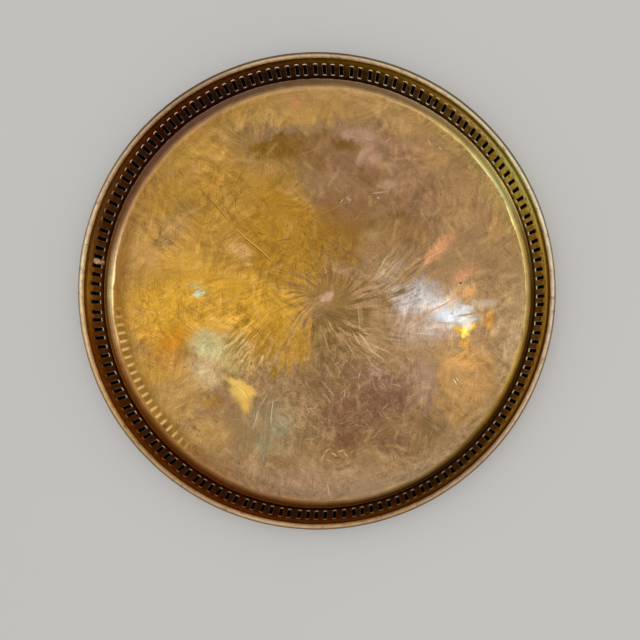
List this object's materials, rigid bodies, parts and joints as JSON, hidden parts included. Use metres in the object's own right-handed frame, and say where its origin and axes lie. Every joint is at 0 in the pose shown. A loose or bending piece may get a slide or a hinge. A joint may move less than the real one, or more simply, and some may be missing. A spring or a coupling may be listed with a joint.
{
  "type": "offering plate",
  "caption": "Round brass plate with a flat floor, a low pierced gallery that leans out, and a beaded rim.",
  "frame": {"origin": "the middle of the underside, on the surface that the plate rests on", "axes": "+Z is the plate's axis and points out of its open side; the gallery's seam is 172 degrees about +Z from +X"},
  "size_m": [0.381, 0.381, 0.025],
  "materials": {
    "pan_brass": "old polished brass with tarnish clouds and scratches",
    "gallery_brass": "dark patinated brass with bright punched edges",
    "solder": "worn brazing solder",
    "bead_brass": "worn pale brass with pits",
    "wire_brass": "drawn wire"
  },
  "bodies": {
    "root": {"pan": "pan_brass", "gallery_band": "gallery_brass", "band_seam_solder": "solder", "foot_solder": "solder", "rim_bead": "bead_brass", "rim_wire": "wire_brass", "rim_solder": "solder"}
  },
  "joints": []
}
